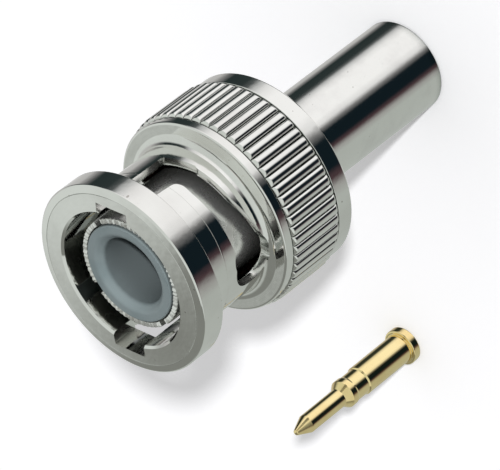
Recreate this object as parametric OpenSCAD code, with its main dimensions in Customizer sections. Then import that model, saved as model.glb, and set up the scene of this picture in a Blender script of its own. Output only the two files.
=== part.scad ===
// Crimp-type bayonet coaxial plug, as supplied: the plug with its ferrule slid on,
// and its centre pin standing beside it.
// Millimetres. The plug's axis is +Z, from the cable end to the mating face.
// The origin is the middle of the ferrule's cable end, on which the plug stands.

/* [Coupling nut] */
// Length of the coupling nut
nut_l = 14.9; // [14.5:0.1:18]
// Bore that slides over the mating jack
nut_bore_d = 9.85; // [9.6:0.05:10]
// Outer diameter of the bayonet barrel
barrel_d = 11.1; // [10.9:0.1:11.6]
// Outer diameter of the front ring
ring_d = 13.9; // [13:0.1:15]
// Length of the front ring
ring_l = 2; // [1.6:0.1:2.4]
// Width of the chamfer round the nut's mouth
mouth_chamfer = 0.25; // [0.1:0.05:0.35]
// Depth of the shallow bevel on the ring's face
face_bevel = 0.12; // [0.05:0.01:0.2]
// Distance from the mating face to the knurled collar
collar_at = 8.15; // [7.9:0.05:9]
// Radius of the fillet between barrel and collar
collar_fillet = 0.6; // [0.3:0.1:0.8]

/* [Knurl] */
// Diameter over the ribs
knurl_d = 14.5; // [14.2:0.1:16]
// Number of straight ribs round the collar
rib_count = 60; // [40:2:72]
// Height of a rib
rib_h = 0.3; // [0.2:0.05:0.4]
// Plain land in front of the ribs
front_land = 0.75; // [0.5:0.05:1.2]
// Length of the ribs
rib_l = 4.5; // [3.5:0.1:5]

/* [Bayonet slots] */
// Diameter of the mating jack's lugs
lug_d = 2; // [1.8:0.05:2.1]
// Play of a lug in the ramp
lug_play = 0.1; // [0.05:0.05:0.2]
// Width of the entry channels
entry_w = 2.6; // [2.4:0.1:2.8]
// Turn from the middle of an entry to the middle of its seat, in degrees
seat_turn = 96; // [90:1:100]
// Distance from the mating face to the middle of the seats
seat_at = 6.47; // [6.4:0.01:6.5]
// Radius of the round-ended seat at the end of a ramp
seat_r = 1.62; // [1.5:0.01:1.64]
// Length that the seat has besides its round ends
seat_lead = 0.8; // [0.5:0.1:1]
// Distance from the mating face to the ramp's rear edge, at the entry
ramp_at = 6.7; // [6.6:0.05:6.8]
// Rearward climb of the ramp for each millimetre round the barrel
ramp_climb = 0.065; // [0.05:0.005:0.08]

/* [Coupling spring set] */
// Radial room for the spring set between the nut and the body's boss
spring_room = 1.6; // [1.4:0.05:1.7]
// Wall between the bottom of the retaining ring's groove and the foot of the ribs
rear_wall = 0.6; // [0.4:0.05:0.7]
// Lip behind the retaining ring's groove
rear_lip = 0.7; // [0.5:0.05:1]
// Depth of the retaining ring's groove
groove_depth = 0.35; // [0.2:0.05:0.4]
// Thickness of the retaining ring
snap_t = 0.35; // [0.25:0.05:0.4]
// Radial width of the retaining ring
snap_w = 1.1; // [0.8:0.1:1.2]
// Opening of the retaining ring, in degrees
snap_gap = 55; // [30:5:90]
// Thickness of the flat washer
washer_t = 0.25; // [0.2:0.05:0.4]
// Height of the wave spring as fitted
spring_h = 0.75; // [0.65:0.05:1]
// Thickness of the wave spring's strip
spring_t = 0.2; // [0.15:0.01:0.25]
// Number of waves in the spring
wave_count = 3; // [3:1:5]

/* [Body] */
// Length of boss between the nut and the ferrule
boss_l = 1.2; // [0.9:0.1:2]
// Thickness of the flange that carries the nut
flange_t = 0.65; // [0.5:0.05:0.9]
// Bore for the cable's inner insulation
cable_bore_d = 3.1; // [2.6:0.1:3.3]
// Outer diameter of the crimp stem, over its barbs
stem_d = 5.2; // [4.9:0.1:5.4]
// Length of the crimp stem
stem_l = 8.5; // [7:0.1:10]
// Number of barbs on the crimp stem
barb_count = 8; // [5:1:10]
// Depth of the barbs
barb_h = 0.2; // [0.1:0.05:0.25]
// Length of the spigot that the outer contact is pressed on
spigot_l = 1.8; // [1.2:0.1:2.5]

/* [Outer contact] */
// Outer diameter of the contact fingers
contact_d = 8.15; // [8:0.05:8.2]
// Wall of the contact fingers
contact_wall = 0.48; // [0.4:0.02:0.8]
// How far the fingers stop short of the mating face
contact_recess = 0.9; // [0.6:0.05:1.5]
// Width of the slots between the fingers
finger_gap = 0.7; // [0.4:0.05:0.9]
// Length of the slots between the fingers
finger_l = 5; // [4:0.1:8]

/* [Insulator] */
// Bore that receives the jack's insulator
socket_d = 4.9; // [4.8:0.05:5.2]
// Depth of that bore
socket_depth = 5.5; // [4.5:0.1:6.5]
// Chamfer at the mouth of that bore
socket_chamfer = 0.3; // [0.1:0.05:0.4]
// How far the insulator stops short of the mating face
insulator_recess = 0.8; // [0.5:0.05:1.4]
// Diameter of the stub that sits in the body
stub_d = 4.4; // [4.2:0.1:4.6]
// Length of that stub
stub_l = 4; // [3:0.1:5]

/* [Gasket] */
// Thickness of the gasket
gasket_t = 0.8; // [0.5:0.05:1.2]

/* [Ferrule] */
// Length of the crimp ferrule
ferrule_l = 12.65; // [11:0.05:15]
// Outer diameter of the crimp ferrule
ferrule_d = 6.65; // [6.4:0.05:7]
// Wall of the crimp ferrule
ferrule_wall = 0.45; // [0.35:0.05:0.6]
// Chamfer at the ferrule's ends
ferrule_chamfer = 0.12; // [0.05:0.01:0.15]

/* [Centre pin] */
// Length of the centre pin
pin_l = 12.1; // [11:0.1:12.5]
// Diameter of the pin's mating shaft
pin_d = 1.4; // [1.3:0.02:1.45]
// Length of the mating shaft, with its point
pin_shaft_l = 4.7; // [4.5:0.1:5.2]
// Length of the point
pin_point_l = 1.25; // [0.8:0.05:1.5]
// Diameter over the pin's retaining barb
pin_barb_d = 2.14; // [2.05:0.01:2.2]
// Diameter of the neck behind the barb
pin_neck_d = 2.04; // [1.9:0.01:2.04]
// Distance from the pin's tip to its crimp barrel
pin_barrel_at = 6.9; // [6.5:0.1:7.6]
// Diameter of the pin's crimp barrel
pin_barrel_d = 2.2; // [2.1:0.01:2.3]
// Diameter of the flange at the pin's foot
pin_flange_d = 2.76; // [2.5:0.02:2.9]
// Thickness of that flange
pin_flange_t = 0.65; // [0.4:0.05:0.9]
// Bore for the cable's inner conductor
wire_d = 1; // [0.7:0.05:1.1]
// Depth of that bore
wire_depth = 4; // [3:0.1:4.5]
// Inspection hole in the crimp barrel
sight_hole_d = 0.6; // [0.4:0.05:0.7]
// Where the pin stands, across
pin_x = -15.8; // [-25:0.1:-12]
// Where the pin stands, in depth
pin_y = 19.1; // [12:0.1:25]

/* [Turned position] */
// Direction of the first entry channel, in degrees
entry_turn = -45; // [-180:1:180]
// Direction of the first slot between the fingers, in degrees
finger_turn = -7; // [-180:1:180]

/* [Hidden] */
$fn = 96;

// Clearances: running between turning faces, slip where one piece is pushed into
// another, and face where two flat faces slide on each other.
running = 0.05;
slip = 0.02;
face = 0.03;
// Overshoot of a cutter past the surface that it cuts
past = 0.5;

// Heights along the axis, from the cable end up
nut_z = ferrule_l + boss_l;
mating_z = nut_z + nut_l;
groove_z = nut_z + rear_lip;
groove_l = snap_t + 2 * face;
washer_z = groove_z + groove_l;
spring_z = washer_z + washer_t;
flange_z = spring_z + spring_h;
flange_top = flange_z + flange_t;
shoulder_z = flange_top + face;
spigot_top = flange_top + spigot_l;
stub_z = spigot_top - stub_l;
insulator_top = mating_z - insulator_recess;
socket_floor = insulator_top - socket_depth;
contact_top = mating_z - contact_recess;
stem_z = ferrule_l - stem_l;
collar_z = mating_z - collar_at;
rib_top = collar_z - front_land;
rib_z = rib_top - rib_l;

// Radii that follow from a mating piece
bore_r = nut_bore_d / 2;
barrel_r = barrel_d / 2;
ring_r = ring_d / 2;
knurl_r = knurl_d / 2;
root_r = knurl_r - rib_h;
groove_r = root_r - rear_wall;
counterbore_r = groove_r - groove_depth;
flange_r = counterbore_r - running;
boss_r = counterbore_r - spring_room;
contact_r = contact_d / 2;
contact_in_r = contact_r - contact_wall;
spigot_r = contact_in_r - slip;
insulator_r = contact_in_r - slip;
pin_hole_r = pin_barb_d / 2 + slip;
socket_r = socket_d / 2;
ferrule_r = ferrule_d / 2;
ferrule_in_r = ferrule_r - ferrule_wall;
entry_floor_r = barrel_r + 0.1;

function lerp(a, b, t) = a + (b - a) * t;

// Points of an arc in the plane, from angle a to angle b, leaving out the last one
function arc(centre, r, a, b, steps) =
    [for (i = [0:steps - 1]) centre + r * [cos(lerp(a, b, i / steps)), sin(lerp(a, b, i / steps))]];

// A tube between two radii, with equal chamfers on the outer edges of both ends
module tube(r_out, r_in, z0, z1, chamfer = 0) {
    rotate_extrude()
        polygon([
            [r_in, z0],
            [r_out - chamfer, z0],
            [r_out, z0 + chamfer],
            [r_out, z1 - chamfer],
            [r_out - chamfer, z1],
            [r_in, z1]
        ]);
}

// ---- Bayonet slot, drawn flat: x runs round the barrel from the middle of the
// entry, y runs rearward from the mating face ----

half_entry = entry_w / 2;
ramp_w = lug_d + lug_play;
seat = [seat_turn * PI / 180 * barrel_r, seat_at];
lead = [seat.x - seat_lead, seat_at];
lip_r = 0.7;
lip_sink = 0.04;
start_y = ring_l + 2 * running;
// Where the rear edge bends away to run into the seat, and the angle at which it meets it
bend_x = lead.x - 2.4 * seat_r;
touch_a = 118;

function rear_y(x) = ramp_at + ramp_climb * x;
function front_y(x) = rear_y(x) - ramp_w;
touch = lead + seat_r * [cos(touch_a), sin(touch_a)];
bend_end = touch.x + 0.3 * seat_r;
bend_climb = (touch.y - rear_y(bend_x)) / (touch.x - bend_x);
lip_c = [half_entry + lip_r, front_y(half_entry + lip_r) - lip_r + lip_sink];

// Cuts a flat shape radially through the wall, at x along the barrel's surface
module radial_cut(x)
    rotate(-x / barrel_r * 180 / PI)
    translate([bore_r - past, 0, mating_z])
    rotate([90, 0, 90])
    linear_extrude(knurl_r - bore_r + 2 * past)
    mirror([1, 0]) mirror([0, 1])
    children();

// Cuts a band of width w from x0 to x1, whose rear edge starts at y and climbs rearward
module climbing_cut(x0, x1, y, climb, w) {
    half = (x1 - x0) / 2 / barrel_r * 180 / PI;
    reach = knurl_r + past;
    rotate(-x0 / barrel_r * 180 / PI - half)
        translate([0, 0, mating_z - y - climb * barrel_r * sin(half)])
        rotate([atan(climb), 0, 0])
        linear_extrude(w)
        polygon([[0, 0], [reach, -reach * tan(half)], [reach, reach * tan(half)]]);
}

// Solid that a slot removes: its mouth with the lip, the ramp and its bend, and the seat
module slot_cutter() {
    middle_y = ramp_at - ramp_w / 2;
    // How far the entry's walls run on past the ramp's line, and stop short of it
    past_ramp = 0.15 * half_entry;
    short_of_ramp = 0.25 * half_entry;
    radial_cut(0)
        polygon(concat(
            [[-half_entry, start_y], [half_entry, start_y]],
            arc(lip_c, lip_r, 180, 90, 6),
            [lip_c + [0, lip_r], [lip_c.x, middle_y], [half_entry, middle_y]],
            [[half_entry, ramp_at + past_ramp], [-half_entry, ramp_at - short_of_ramp]]
        ));
    climbing_cut(0, seat.x, ramp_at, ramp_climb, ramp_w);
    climbing_cut(bend_x, bend_end, rear_y(bend_x), bend_climb, ramp_w / 2);
    for (end = [lead, seat]) radial_cut(end.x) translate([0, end.y]) circle(seat_r);
}

// Straight channel through the ring, which lets a lug into the slot
module entry_channel() {
    translate([bore_r - past, -entry_w / 2, mating_z - start_y - past])
        cube([entry_floor_r - bore_r + past, entry_w, start_y + 2 * past]);
}

// ---- Knurled collar ----

// Height of a rib's rounded crest across its pitch, for t from -0.5 to 0.5
function rib_profile(t) = sqrt(max(0, 1 - pow(abs(t) / 0.5, 2.6)));

module ribbed_section() {
    across = [-0.5, -0.4, -0.22, 0, 0.22, 0.4];
    polygon([
        for (i = [0:rib_count - 1], t = across)
            let (r = root_r + rib_h * rib_profile(t), a = (i + t) * 360 / rib_count)
            r * [cos(a), sin(a)]
    ]);
}

module knurl() {
    nose = rib_h;
    intersection() {
        translate([0, 0, rib_z]) linear_extrude(rib_l) ribbed_section();
        rotate_extrude()
            polygon([
                [0, rib_z],
                [root_r, rib_z],
                [knurl_r, rib_z + nose],
                [knurl_r, rib_top - nose],
                [knurl_r - 0.3 * rib_h, rib_top - 0.4 * nose],
                [root_r, rib_top],
                [0, rib_top]
            ]);
    }
}

module nut_blank() {
    bevel_w = 0.6;
    corner = 0.2;
    edge = 0.08;
    rear_chamfer = 0.25;
    land_r = root_r + 0.2 * rib_h;
    rear_r = root_r + 0.4 * rib_h;
    rotate_extrude()
        polygon(concat(
            [
                [bore_r - past, mating_z],
                [ring_r - bevel_w, mating_z],
                [ring_r - corner, mating_z - face_bevel],
                [ring_r, mating_z - face_bevel - corner],
                [ring_r, mating_z - ring_l + edge],
                [ring_r - edge, mating_z - ring_l],
                [barrel_r, mating_z - ring_l]
            ],
            arc([barrel_r + collar_fillet, collar_z + collar_fillet], collar_fillet, 180, 270, 6),
            [
                [barrel_r + collar_fillet, collar_z],
                [land_r - corner, collar_z],
                [land_r, collar_z - corner],
                [land_r, rib_top - edge],
                [root_r, rib_top - edge],
                [root_r, rib_z],
                [rear_r, rib_z],
                [rear_r, nut_z + rear_chamfer],
                [rear_r - rear_chamfer, nut_z],
                [bore_r - past, nut_z]
            ]
        ));
}

module coupling_nut() {
    color("silver")
    difference() {
        union() {
            nut_blank();
            knurl();
        }
        // Bore for the jack, with its mouth chamfered
        translate([0, 0, nut_z - past]) cylinder(r = bore_r, h = nut_l + 2 * past);
        translate([0, 0, mating_z - mouth_chamfer])
            cylinder(r1 = bore_r, r2 = bore_r + mouth_chamfer + past, h = mouth_chamfer + past);
        // Counterbore for the flange and the spring set, and the retaining ring's groove
        translate([0, 0, nut_z - past]) cylinder(r = counterbore_r, h = shoulder_z - nut_z + past);
        translate([0, 0, groove_z]) cylinder(r = groove_r, h = groove_l);
        for (turn = [0, 180]) rotate(entry_turn + turn) {
            entry_channel();
            slot_cutter();
        }
    }
}

// ---- Spring set, inside the nut's rear ----

// Open ring of flat wire, sprung into the nut's groove
module retaining_ring() {
    color("gainsboro")
    rotate(90 + snap_gap / 2)
    rotate_extrude(angle = 360 - snap_gap)
        translate([groove_r - slip - snap_w, groove_z + face])
        square([snap_w, snap_t]);
}

module flat_washer() {
    color("gainsboro")
    tube(counterbore_r - 2 * running, boss_r + 2 * running, washer_z, washer_z + washer_t);
}

// Wavy ring of strip that pushes the nut rearward
module wave_spring() {
    sections = 72;
    r_in = boss_r + 3 * running;
    r_out = counterbore_r - 4 * running;
    rise = (spring_h - spring_t - 2 * face) / 2;
    middle = spring_z + face + rise;
    function strip(i) =
        let (a = i * 360 / sections, z = middle + rise * sin(wave_count * a))
        [
            [r_in * cos(a), r_in * sin(a), z],
            [r_out * cos(a), r_out * sin(a), z],
            [r_out * cos(a), r_out * sin(a), z + spring_t],
            [r_in * cos(a), r_in * sin(a), z + spring_t]
        ];
    points = [for (i = [0:sections - 1]) each strip(i)];
    faces = [
        for (i = [0:sections - 1], k = [0:3])
            let (
                j = (i + 1) % sections,
                a = 4 * i + k,
                b = 4 * i + (k + 1) % 4,
                c = 4 * j + k,
                d = 4 * j + (k + 1) % 4
            )
            each [[a, c, b], [b, c, d]]
    ];
    color("silver") polyhedron(points, faces);
}

// ---- Fixed pieces ----

// Outline of one barb, from its foot to its crest, at height z
function barb(z, pitch) = [
    [stem_d / 2 - barb_h, z],
    [stem_d / 2, z + 0.8 * pitch],
    [stem_d / 2 - barb_h, z + 0.9 * pitch]
];

module connector_body() {
    pitch = (stem_l - 1.5) / barb_count;
    boss_chamfer = 0.3;
    bore = cable_bore_d / 2;
    color("silver")
    rotate_extrude()
        polygon(concat(
            [[bore, stem_z], [bore + 0.5, stem_z]],
            [for (i = [0:barb_count - 1]) each barb(stem_z + 0.3 + i * pitch, pitch)],
            [
                [stem_d / 2 - barb_h, ferrule_l],
                [boss_r - boss_chamfer, ferrule_l],
                [boss_r, ferrule_l + boss_chamfer],
                [boss_r, flange_z],
                [flange_r, flange_z],
                [flange_r, flange_top],
                [spigot_r, flange_top],
                [spigot_r, spigot_top],
                [stub_d / 2 + slip, spigot_top],
                [stub_d / 2 + slip, stub_z],
                [bore, stub_z]
            ]
        ));
}

// Sleeve with four spring fingers that touch the inside of the jack
module outer_contact() {
    tip = 0.18;
    color("lightgray")
    difference() {
        rotate_extrude()
            polygon([
                [contact_in_r, flange_top],
                [contact_r, flange_top],
                [contact_r, contact_top - 1.5 * tip],
                [contact_r - tip, contact_top],
                [contact_in_r, contact_top]
            ]);
        for (turn = [0, 90]) rotate(finger_turn + turn)
            translate([-contact_r - past, -finger_gap / 2, contact_top - finger_l])
            cube([2 * (contact_r + past), finger_gap, finger_l + past]);
    }
}

module insulator() {
    edge = 0.1;
    color("slategray")
    rotate_extrude()
        polygon([
            [pin_hole_r, stub_z],
            [stub_d / 2, stub_z],
            [stub_d / 2, spigot_top],
            [insulator_r, spigot_top],
            [insulator_r, insulator_top - edge],
            [insulator_r - edge, insulator_top],
            [socket_r + socket_chamfer, insulator_top],
            [socket_r, insulator_top - socket_chamfer],
            [socket_r, socket_floor],
            [pin_hole_r, socket_floor]
        ]);
}

// Soft ring that the jack's rim is pressed on
module gasket() {
    color("indianred")
    tube(bore_r - 3 * running, contact_r + running, flange_top, flange_top + gasket_t);
}

module crimp_ferrule() {
    color("silver")
    tube(ferrule_r, ferrule_in_r, 0, ferrule_l, ferrule_chamfer);
}

// Pin that is crimped on the inner conductor. It stands on its flange.
module centre_pin() {
    tip_r = 0.12;
    barb_at = pin_l - pin_shaft_l;
    barrel_top = pin_l - pin_barrel_at;
    step = (pin_barrel_d - pin_neck_d) / 2;
    color("gold")
    translate([pin_x, pin_y, 0])
    difference() {
        rotate_extrude()
            polygon([
                [0, 0],
                [pin_flange_d / 2 - 0.12, 0],
                [pin_flange_d / 2, 0.12],
                [pin_flange_d / 2, pin_flange_t - 0.12],
                [pin_flange_d / 2 - 0.12, pin_flange_t],
                [pin_barrel_d / 2, pin_flange_t],
                [pin_barrel_d / 2, barrel_top - step],
                [pin_neck_d / 2, barrel_top],
                [pin_neck_d / 2, barb_at - 1.1],
                [pin_barb_d / 2, barb_at - 0.95],
                [pin_barb_d / 2, barb_at - 0.5],
                [pin_d / 2, barb_at],
                [pin_d / 2, pin_l - pin_point_l],
                [tip_r, pin_l - tip_r / 2],
                [0, pin_l]
            ]);
        translate([0, 0, -past]) cylinder(d = wire_d, h = wire_depth + past);
        translate([0, 0, wire_depth / 2 + pin_flange_t])
            rotate([-90, 0, 0]) cylinder(d = sight_hole_d, h = pin_flange_d);
    }
}

coupling_nut();
retaining_ring();
flat_washer();
wave_spring();
connector_body();
outer_contact();
insulator();
gasket();
crimp_ferrule();
centre_pin();
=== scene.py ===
import math
import bmesh
import bpy
import numpy as np
from mathutils import Matrix, Vector
from mathutils.geometry import delaunay_2d_cdt


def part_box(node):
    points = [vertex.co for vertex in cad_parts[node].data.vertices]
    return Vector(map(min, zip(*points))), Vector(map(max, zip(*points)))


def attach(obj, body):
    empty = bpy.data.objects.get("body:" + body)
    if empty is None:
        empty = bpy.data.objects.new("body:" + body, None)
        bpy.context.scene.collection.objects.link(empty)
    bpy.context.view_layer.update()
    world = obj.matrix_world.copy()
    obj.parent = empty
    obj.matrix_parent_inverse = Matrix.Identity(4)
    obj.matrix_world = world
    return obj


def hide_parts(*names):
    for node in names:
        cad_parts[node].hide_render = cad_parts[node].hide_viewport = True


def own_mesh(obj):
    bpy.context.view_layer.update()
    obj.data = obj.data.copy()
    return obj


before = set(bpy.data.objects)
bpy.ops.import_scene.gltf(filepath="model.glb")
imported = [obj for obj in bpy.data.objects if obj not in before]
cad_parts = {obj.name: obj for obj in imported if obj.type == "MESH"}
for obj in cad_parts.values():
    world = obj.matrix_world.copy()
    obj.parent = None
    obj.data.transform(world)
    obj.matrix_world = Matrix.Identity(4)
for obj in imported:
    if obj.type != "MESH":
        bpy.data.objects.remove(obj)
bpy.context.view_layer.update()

print("frame loaded:", len(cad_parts), "solids")

# The pieces' sizes are in millimetres, as a turner's drawing has them, and become metres in
# addPiece. Materials, the floor and the lamp use metres. Angles in settings are in degrees.
mm = 0.001


def nodeBox(node):
    # Lowest and highest corner of a CAD solid at rest, in millimetres.
    low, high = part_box(node)
    return np.array(low) / mm, np.array(high) / mm


def roundedLine(corners, hold=0.03, closed=True, stepDegrees=15.0):
    # A line through corner points (x, y, radius), each corner turned into an arc that touches both
    # of its sides: the arc starts radius / tan(half the corner's angle) from the corner. Two extra
    # points beside each arc keep the flats flat when shaded.
    points = []
    count = len(corners)
    for i, (x, y, radius) in enumerate(corners):
        here = np.array([x, y], float)
        atEnd = not closed and i in (0, count - 1)
        if radius <= 0 or atEnd:
            points.append(here[None])
            continue
        before = np.array(corners[i - 1][:2], float) - here
        after = np.array(corners[(i + 1) % count][:2], float) - here
        before, after = before / np.linalg.norm(before), after / np.linalg.norm(after)
        half = math.acos(max(-1, min(1, float(before @ after)))) / 2
        reach = radius / math.tan(half)
        middle = (before + after) / np.linalg.norm(before + after)
        centre = here + middle * radius / math.sin(half)
        turn = math.pi - 2 * half
        steps = max(2, int(math.ceil(math.degrees(turn) / stepDegrees)))
        start, end = here + before * reach - centre, here + after * reach - centre
        t = np.linspace(0, 1, steps + 1)[:, None]
        arc = (np.sin((1 - t) * turn) * start + np.sin(t * turn) * end) / math.sin(turn)
        points.append(here[None] + before * (reach + hold))
        points.append(centre + arc)
        points.append(here[None] + after * (reach + hold))
    return np.concatenate(points)


def gridFaces(rows, columns, wrapColumns=True, wrapRows=False):
    # Quads of a grid, as vertex numbers row by row: each point with its next neighbours.
    across = np.arange(columns if wrapColumns else columns - 1)
    down = np.arange(rows if wrapRows else rows - 1)
    d, a = np.meshgrid(down, across, indexing="ij")
    here, below = d * columns, (d + 1) % rows * columns
    beside = (a + 1) % columns
    return np.stack([here + a, here + beside, below + beside, below + a], -1).reshape(-1, 4)


def wrapAround(radius, angle, z):
    # Cylinder coordinates to x, y, z.
    return np.stack([radius * np.cos(angle), radius * np.sin(angle), z + 0 * angle], -1)


def evenAngles(steps):
    # Angles of a whole turn, evenly spaced.
    return np.linspace(0, 2 * math.pi, steps, endpoint=False)


def revolved(line, steps=192):
    # A closed line of (radius, z) carried round the axis.
    points = wrapAround(line[:, :1], evenAngles(steps)[None], line[:, 1:])
    return points, gridFaces(len(line), steps, True, True)


def barSection(inner, outer, low, high, edges, hold=0.02):
    # A rectangle of (radius, z) whose corners are rounded by edges, from the inner low one outwards.
    corners = ((inner, low), (outer, low), (outer, high), (inner, high))
    return roundedLine([(*corner, edge) for corner, edge in zip(corners, edges)], hold)


def insidePolygon(points, polygon):
    # Even-odd rule: counts the polygon's sides that a ray in +x crosses, for all points at once.
    x, y = points[:, 0][:, None], points[:, 1][:, None]
    x0, y0 = polygon[:, 0], polygon[:, 1]
    x1, y1 = np.roll(x0, -1), np.roll(y0, -1)
    crosses = (y0 > y) != (y1 > y)
    slope = (x1 - x0) / np.where(y1 == y0, 1e-12, y1 - y0)
    return (np.sum(crosses & (x < x0 + (y - y0) * slope), axis=1) % 2) == 1


def farFrom(points, line, distance):
    # True where a point is further than distance from every point of the line.
    keep = np.ones(len(points), bool)
    for part in np.array_split(np.arange(len(points)), max(1, len(points) // 2000)):
        gaps = points[part][:, None, :] - line[None]
        keep[part] = np.min(np.sum(gaps * gaps, -1), axis=1) > distance * distance
    return keep


def gridPoints(across, up):
    # All pairs of a value across and a value up, row by row.
    u, v = np.meshgrid(across, up)
    return np.stack([u.ravel(), v.ravel()], -1)


def filledSheet(loose, lines, holes, keepIn=None):
    # Flat triangles through all points (Delaunay's rule), with the lines as edges. Triangles in a
    # hole, or outside keepIn, are left out.
    points, edges, start = [loose], [], len(loose)
    for line in lines:
        number = np.arange(len(line)) + start
        edges.append(np.stack([number[:-1], number[1:]], -1))
        points.append(line)
        start += len(line)
    flat = [Vector(point) for point in np.concatenate(points).tolist()]
    found = delaunay_2d_cdt(flat, np.concatenate(edges).tolist(), [], 0, 1e-7)
    flat = np.array([tuple(point) for point in found[0]])
    triangles = np.array([face for face in found[2] if len(face) == 3])
    middle = flat[triangles].mean(axis=1)
    keep = np.ones(len(triangles), bool)
    for hole in holes:
        keep &= ~insidePolygon(middle, hole)
    if keepIn is not None:
        keep &= insidePolygon(middle, keepIn)
    return flat, triangles[keep]


def resampled(line, along, places):
    # The line's columns read off at the given places along it.
    return np.stack([np.interp(places, along, column) for column in line.T], -1)


def wayAlong(line):
    # Distance along the line at each of its points, by its first two columns.
    steps = np.linalg.norm(np.diff(line[:, :2], axis=0), axis=1)
    return np.concatenate([[0], np.cumsum(steps)])


def evenLine(points, spacing, smooth):
    # The line with evenly spaced points, its corners softened by a running mean; both ends stay.
    along = wayAlong(points)
    line = resampled(points, along, np.linspace(0, along[-1], int(along[-1] / spacing) + 1))
    width = max(1, int(round(smooth / spacing)))
    window = np.ones(2 * width + 1) / (2 * width + 1)
    for _ in range(2):
        before = 2 * line[:1] - line[width:0:-1]
        after = 2 * line[-1:] - line[-2:-width - 2:-1]
        padded = np.concatenate([before, line, after])
        line = np.stack([np.convolve(column, window, "valid") for column in padded.T], -1)
    return line


def sideways(line):
    # Unit normals of a flat line, to the left of its direction.
    along = np.gradient(line, axis=0)
    along /= np.linalg.norm(along, axis=1)[:, None]
    return np.stack([-along[:, 1], along[:, 0]], -1)


def addPiece(name, patches, body, material, replaced, centre=(0, 0)):
    # One mesh from several (points, faces) patches. Points that meet are merged, all faces are
    # turned outwards, and edges sharper than sharpAngle are shaded as edges.
    sharpAngle, weld = 32.0, 0.0004
    points, faces, start = [], [], 0
    for patchPoints, patchFaces in patches:
        patchPoints = np.asarray(patchPoints, float).reshape(-1, 3)
        points.append(patchPoints)
        faces += (np.asarray(patchFaces) + start).tolist()
        start += len(patchPoints)
    allPoints = np.concatenate(points) + [*centre, 0]
    mesh = bpy.data.meshes.new(name)
    mesh.from_pydata((allPoints * mm).tolist(), [], faces)
    work = bmesh.new()
    work.from_mesh(mesh)
    bmesh.ops.remove_doubles(work, verts=work.verts, dist=weld * mm)
    bmesh.ops.dissolve_degenerate(work, dist=weld * mm, edges=work.edges)
    bmesh.ops.delete(work, geom=[e for e in work.edges if not e.link_faces], context="EDGES")
    bmesh.ops.holes_fill(work, edges=[e for e in work.edges if len(e.link_faces) == 1], sides=12)
    bmesh.ops.recalc_face_normals(work, faces=work.faces)
    openEdges = sum(1 for e in work.edges if len(e.link_faces) != 2)
    work.to_mesh(mesh)
    work.free()
    mesh.shade_smooth()
    mesh.set_sharp_from_angle(angle=math.radians(sharpAngle))
    mesh.materials.append(material)
    piece = bpy.data.objects.new(name, mesh)
    bpy.context.scene.collection.objects.link(piece)
    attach(piece, body)
    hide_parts(replaced)
    print("piece", name, len(mesh.polygons), "faces,", openEdges, "open edges")
    return piece


# The coupling nut is worked out half at a time. Its barrel and bore are laid flat, as u, the way
# round the barrel's outside from the middle of an entry, and s, the distance from the mating face.
nut = {
    # Barrel, its bore and the fine line turned round it
    "boreRadius": 4.925, "barrelRadius": 5.55, "mouthChamfer": 0.15,
    "barrelLineAt": 4.12, "barrelLineDepth": 0.02, "barrelLineHalf": 0.04,
    # Front ring. Insets are from its outside; the slope is an inset and a drop.
    "ringRadius": 6.95, "ringLength": 2.0, "ringEdge": 0.1, "ringSlope": (0.11, 0.09),
    "faceCone": 0.06, "faceInset": 0.66, "rearInset": 0.5,
    "faceLineRadius": 6.36, "faceLineHalf": 0.03, "faceLineDepth": 0.03,
    # Slots: entry, seat, ramp, and the bend between them, which starts some seat radii before the
    # seat and meets it at an angle
    "entryWidth": 2.6, "entryFloor": 5.65, "entryTurn": -45.0,
    "seatTurn": 96.0, "seatAt": 6.47, "seatRadius": 1.62, "seatLead": 0.8,
    "rampAt": 6.7, "rampWidth": 2.1, "rampClimb": 0.065, "lipRadius": 0.7,
    "bendStart": 2.4, "bendTouch": 118.0, "outerBreak": 0.11, "innerBreak": 0.05,
    # Collar and knurl. The land and the rear rim stand up by a share of a rib's height.
    "collarAt": 8.15, "collarFillet": 0.6, "landLength": 0.75, "landShare": 0.2, "rimShare": 0.4,
    "knurlRadius": 7.25, "ribCount": 60, "ribHeight": 0.3, "ribLength": 4.5, "ribPower": 2.6,
    # Inside of the rear
    "shoulderHeight": 16.64, "counterboreRadius": 6.0, "grooveRadius": 6.35, "grooveLength": 0.41,
    "rearLip": 0.7, "rearChamfer": 0.25,
}
nutLow, nutHigh = nodeBox("coupling_nut")
matingZ = nutHigh[2]
nutLength = nutHigh[2] - nutLow[2]
shoulderAt = matingZ - nut["shoulderHeight"]
boreR, barrelR, ringR = nut["boreRadius"], nut["barrelRadius"], nut["ringRadius"]
mouthR = boreR + nut["mouthChamfer"]
rootR = nut["knurlRadius"] - nut["ribHeight"]
halfEntry = nut["entryWidth"] / 2
entryTurn = math.radians(nut["entryTurn"])
halfRound = math.pi * barrelR
filletStart = nut["collarAt"] - nut["collarFillet"]
ribStart = nut["collarAt"] + nut["landLength"]
ribEnd = ribStart + nut["ribLength"]
closedFrom = 2.3  # distance from the face at which the entry's walls leave the ring behind
# Distances from the face at which the entry's straight walls have points
wallRows = np.array([0, nut["mouthChamfer"], 0.3, 0.7, 1.2, 1.7, 1.95, 2.0, 2.05, 2.15])


def nutColumns():
    # Angles round the nut, eight to a rib and closer together in the grooves, starting in a groove.
    across = np.array([-0.5, -0.44, -0.36, -0.2, 0.0, 0.2, 0.36, 0.44])
    ribs = np.arange(nut["ribCount"]) + across[:, None]
    return np.sort(ribs.ravel()) * 2 * math.pi / nut["ribCount"]


def ribHeightAt(angles):
    # Height of a rib: a flattened round across its pitch, from 0 in the groove to 1 on the crest.
    t = angles / (2 * math.pi) * nut["ribCount"]
    t = np.abs(t - np.round(t)) / 0.5
    return np.sqrt(np.maximum(0, 1 - t ** nut["ribPower"])) * nut["ribHeight"]


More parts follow.
